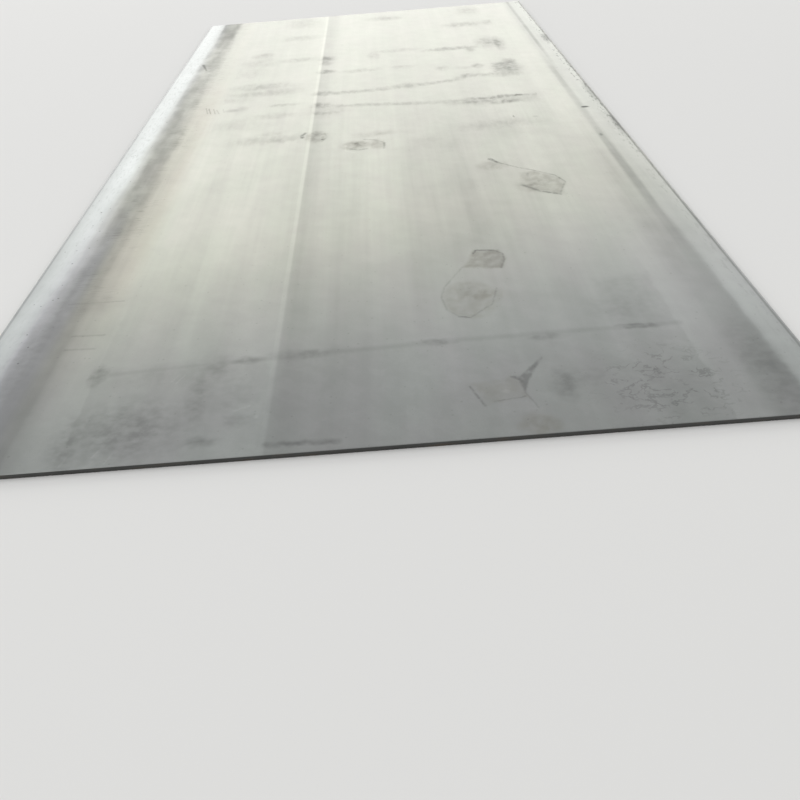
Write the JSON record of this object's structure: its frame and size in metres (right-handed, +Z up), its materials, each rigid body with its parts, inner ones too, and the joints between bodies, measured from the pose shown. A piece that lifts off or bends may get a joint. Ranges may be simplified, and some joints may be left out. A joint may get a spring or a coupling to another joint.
{
  "type": "steel plate",
  "caption": "Flat hot-rolled steel plate in grey mill scale, with rounded rolled long edges and sheared ends, as stock for cutting and fabrication.",
  "frame": {"origin": "middle of the underside, on the level that the plate rests on", "axes": "+X across the width, +Y along the length and rolling direction, away from the end that was sheared from above, +Z up through the thickness"},
  "size_m": [1.5, 3, 0.01],
  "materials": {
    "mill_scale_steel": "hot-rolled mill scale, grey, half gloss, with fine streaks along the rolling direction"
  },
  "bodies": {
    "root": {"steel_plate": "mill_scale_steel"}
  },
  "joints": []
}
